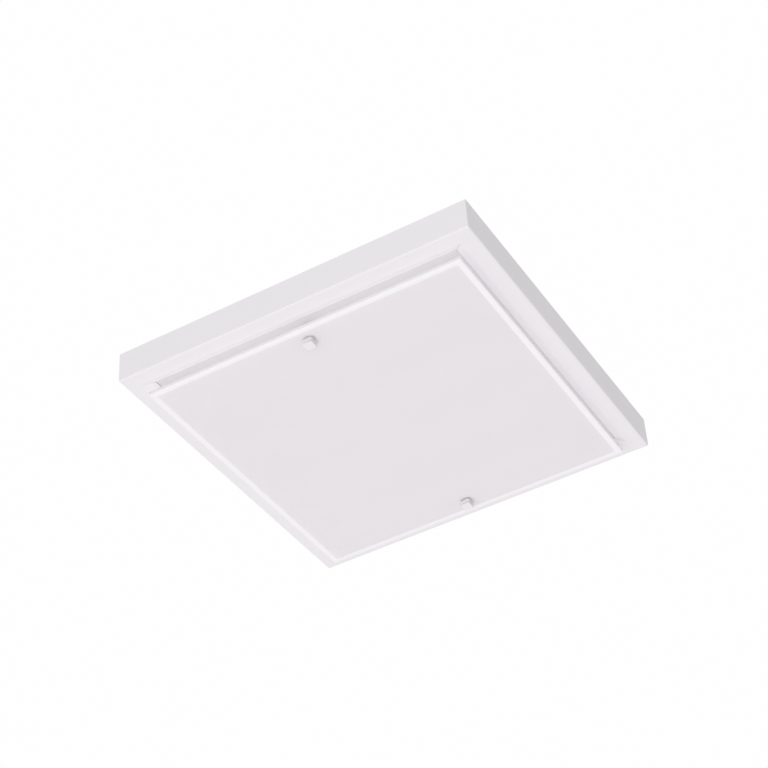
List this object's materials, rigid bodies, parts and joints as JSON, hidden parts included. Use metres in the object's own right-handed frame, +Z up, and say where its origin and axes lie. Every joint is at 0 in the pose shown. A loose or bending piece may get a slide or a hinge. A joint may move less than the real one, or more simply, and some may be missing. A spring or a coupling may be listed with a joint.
{
  "type": "flush mount ceiling light",
  "caption": "Thin square flush mount ceiling light with a folded metal housing and a floating white glass plate held by square screw knobs.",
  "frame": {"origin": "centre of the four ceiling screw slots, on the ceiling side of the housing", "axes": "+Z up to the ceiling, the light hangs towards -Z; -Y is the front edge, +X the right edge seen from the front; the two knobs lie on the Y axis"},
  "size_m": [0.4, 0.4, 0.0567],
  "materials": {
    "white_paint": "satin white powder coat",
    "tray_white": "matt white coil coat",
    "white_glass": "white backed glass, satin centre with a polished border",
    "knob_white": "satin white lacquer",
    "zinc_steel": "zinc plated",
    "tinned_brass": "tinned",
    "clear_nylon": "translucent natural nylon",
    "grey_rubber": "matt",
    "board_white": "white solder mask on aluminium",
    "chip_yellow": "phosphor filled silicone",
    "plug_white": "moulded",
    "lead_white": "extruded insulation",
    "lead_brown": "extruded insulation",
    "lead_blue": "extruded insulation",
    "lead_green_yellow": "extruded insulation",
    "driver_plastic": "fine moulded texture",
    "terminal_plastic": "moulded polyamide",
    "circuit_green": "solder mask"
  },
  "bodies": {
    "housing": {"housing": "white_paint", "gear_tray": "tray_white", "cable_entry_bush": "grey_rubber", "glass_post_front": "knob_white", "glass_post_rear": "knob_white", "tray_standoffs": "zinc_steel", "tray_screws": "zinc_steel", "tray_bush": "grey_rubber", "light_board_1": "board_white", "light_board_2": "board_white", "light_board_3": "board_white", "light_board_4": "board_white", "light_chips": "chip_yellow", "board_plugs": "plug_white", "board_jumpers": "lead_white", "board_screws": "zinc_steel", "driver_base": "driver_plastic", "driver_cover": "driver_plastic", "driver_circuit_board": "circuit_green", "driver_screws": "zinc_steel", "terminal_block": "terminal_plastic", "terminal_clamp_screws": "zinc_steel", "terminal_fixing_screw": "zinc_steel", "earth_stud": "zinc_steel", "earth_tag": "tinned_brass", "earth_washer": "zinc_steel", "earth_nut": "zinc_steel", "lead_live": "lead_brown", "lead_neutral": "lead_blue", "lead_earth": "lead_green_yellow", "lead_light_plus": "lead_white", "lead_light_minus": "lead_white"},
    "diffuser": {"glass_diffuser": "white_glass", "upper_washers": "clear_nylon", "lower_washers": "clear_nylon", "glass_bushes": "clear_nylon"},
    "front_knob": {"knob_front": "knob_white"},
    "rear_knob": {"knob_rear": "knob_white"}
  },
  "joints": [
    {"name": "glass_lower", "type": "slide", "parent": "housing", "child": "diffuser", "axis": [0, 0, -1], "range_m": [0, 0.0048]},
    {"name": "front_knob_turn", "type": "hinge", "parent": "diffuser", "child": "front_knob", "pos_m": [0, -0.1595, -0.052], "axis": [0, 0, -1], "range_deg": [0, 2160]},
    {"name": "rear_knob_turn", "type": "hinge", "parent": "diffuser", "child": "rear_knob", "pos_m": [0, 0.1595, -0.052], "axis": [0, 0, -1], "range_deg": [0, 2160]}
  ],
  "couplings": [
    {"joint": "front_knob_turn", "follows": "glass_lower", "rad_per_m": 7854},
    {"joint": "rear_knob_turn", "follows": "glass_lower", "rad_per_m": 7854}
  ]
}
